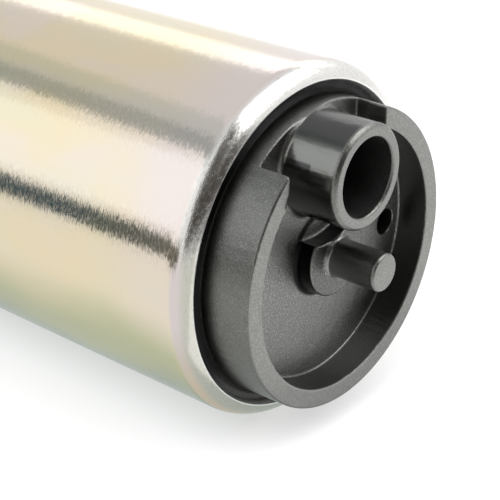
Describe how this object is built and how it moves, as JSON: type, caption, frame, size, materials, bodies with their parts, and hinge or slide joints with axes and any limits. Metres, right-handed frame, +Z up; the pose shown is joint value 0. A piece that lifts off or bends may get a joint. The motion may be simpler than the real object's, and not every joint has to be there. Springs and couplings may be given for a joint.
{
  "type": "fuel pump",
  "caption": "In-tank electric fuel pump: rolled steel body, cast inlet cover with C rim, spigot and pin, moulded outlet cover with nipple and plug socket, motor and turbine inside.",
  "frame": {"origin": "on the pump's axis at the middle of the steel body's length", "axes": "+X along the pump's axis out of the inlet end, -X out of the outlet end, +Z up through the inlet spigot's side with the pump lying on its side, +Y across"},
  "size_m": [0.1099, 0.038, 0.038],
  "materials": {
    "passivated_steel": "zinc-plated steel with a yellow passivated, slightly iridescent finish",
    "cast_cover": "grey die-cast metal, matt with a fine grain",
    "impeller_plastic": "moulded phenolic",
    "hard_steel": "ground and polished",
    "sintered_bronze": "sintered, oil-filled, matt",
    "lamination_steel": "plain steel",
    "insulator_plastic": "moulded, matt",
    "enamelled_copper": "enamelled wire, glossy",
    "bare_copper": "machined copper",
    "ferrite": "ground ferrite, matt",
    "spring_steel": "bright spring steel",
    "black_plastic": "glass-filled moulding, matt",
    "seal_rubber": "matt",
    "brass": "satin",
    "valve_plastic": "natural acetal",
    "carbon": "pressed carbon, matt"
  },
  "bodies": {
    "pump_body": {"housing": "passivated_steel", "inlet_cover": "cast_cover", "pump_casing": "cast_cover", "thrust_button": "hard_steel", "front_bearing": "sintered_bronze", "rear_bearing": "sintered_bronze", "flux_ring": "lamination_steel", "upper_magnet": "ferrite", "lower_magnet": "ferrite", "left_magnet_clip": "spring_steel", "right_magnet_clip": "spring_steel", "brush_holder": "black_plastic", "outlet_cover": "black_plastic", "outlet_seal": "seal_rubber", "check_valve_seat": "brass", "check_valve_guide": "valve_plastic", "check_valve_spring": "spring_steel", "relief_valve_seat": "brass", "relief_valve_spring": "spring_steel", "relief_valve_cap": "brass", "brush_spring_positive": "spring_steel", "brush_lead_positive": "bare_copper", "choke_core_positive": "ferrite", "choke_winding_positive": "enamelled_copper", "terminal_positive": "brass", "brush_spring_negative": "spring_steel", "brush_lead_negative": "bare_copper", "choke_core_negative": "ferrite", "choke_winding_negative": "enamelled_copper", "terminal_negative": "brass"},
    "rotor": {"rotor_shaft": "hard_steel", "armature_core": "lamination_steel", "front_insulator": "insulator_plastic", "rear_insulator": "insulator_plastic", "armature_windings": "enamelled_copper", "commutator_carrier": "insulator_plastic", "commutator_segments": "bare_copper", "impeller": "impeller_plastic"},
    "positive_brush": {"brush_positive": "carbon"},
    "negative_brush": {"brush_negative": "carbon"},
    "check_valve": {"check_valve_poppet": "valve_plastic"},
    "relief_valve": {"relief_valve_ball": "hard_steel"}
  },
  "joints": [
    {"name": "rotor_spin", "type": "hinge", "parent": "pump_body", "child": "rotor", "pos_m": [0, 0, 0], "axis": [1, 0, 0], "continuous": true},
    {"name": "positive_brush_slide", "type": "slide", "parent": "pump_body", "child": "positive_brush", "axis": [-1, 0, 0], "range_m": [0, 0.003], "stiffness_N_per_m": 200, "springref_m": -0.004, "deforming": ["brush_spring_positive", "brush_lead_positive"]},
    {"name": "negative_brush_slide", "type": "slide", "parent": "pump_body", "child": "negative_brush", "axis": [-1, 0, 0], "range_m": [0, 0.003], "stiffness_N_per_m": 200, "springref_m": -0.004, "deforming": ["brush_spring_negative", "brush_lead_negative"]},
    {"name": "check_valve_lift", "type": "slide", "parent": "pump_body", "child": "check_valve", "axis": [-1, 0, 0], "range_m": [0, 0.002], "stiffness_N_per_m": 40, "springref_m": -0.003, "deforming": ["check_valve_spring"]},
    {"name": "relief_valve_lift", "type": "slide", "parent": "pump_body", "child": "relief_valve", "axis": [-1, 0, 0], "range_m": [0, 0.001], "stiffness_N_per_m": 300, "springref_m": -0.003, "deforming": ["relief_valve_spring"]}
  ]
}
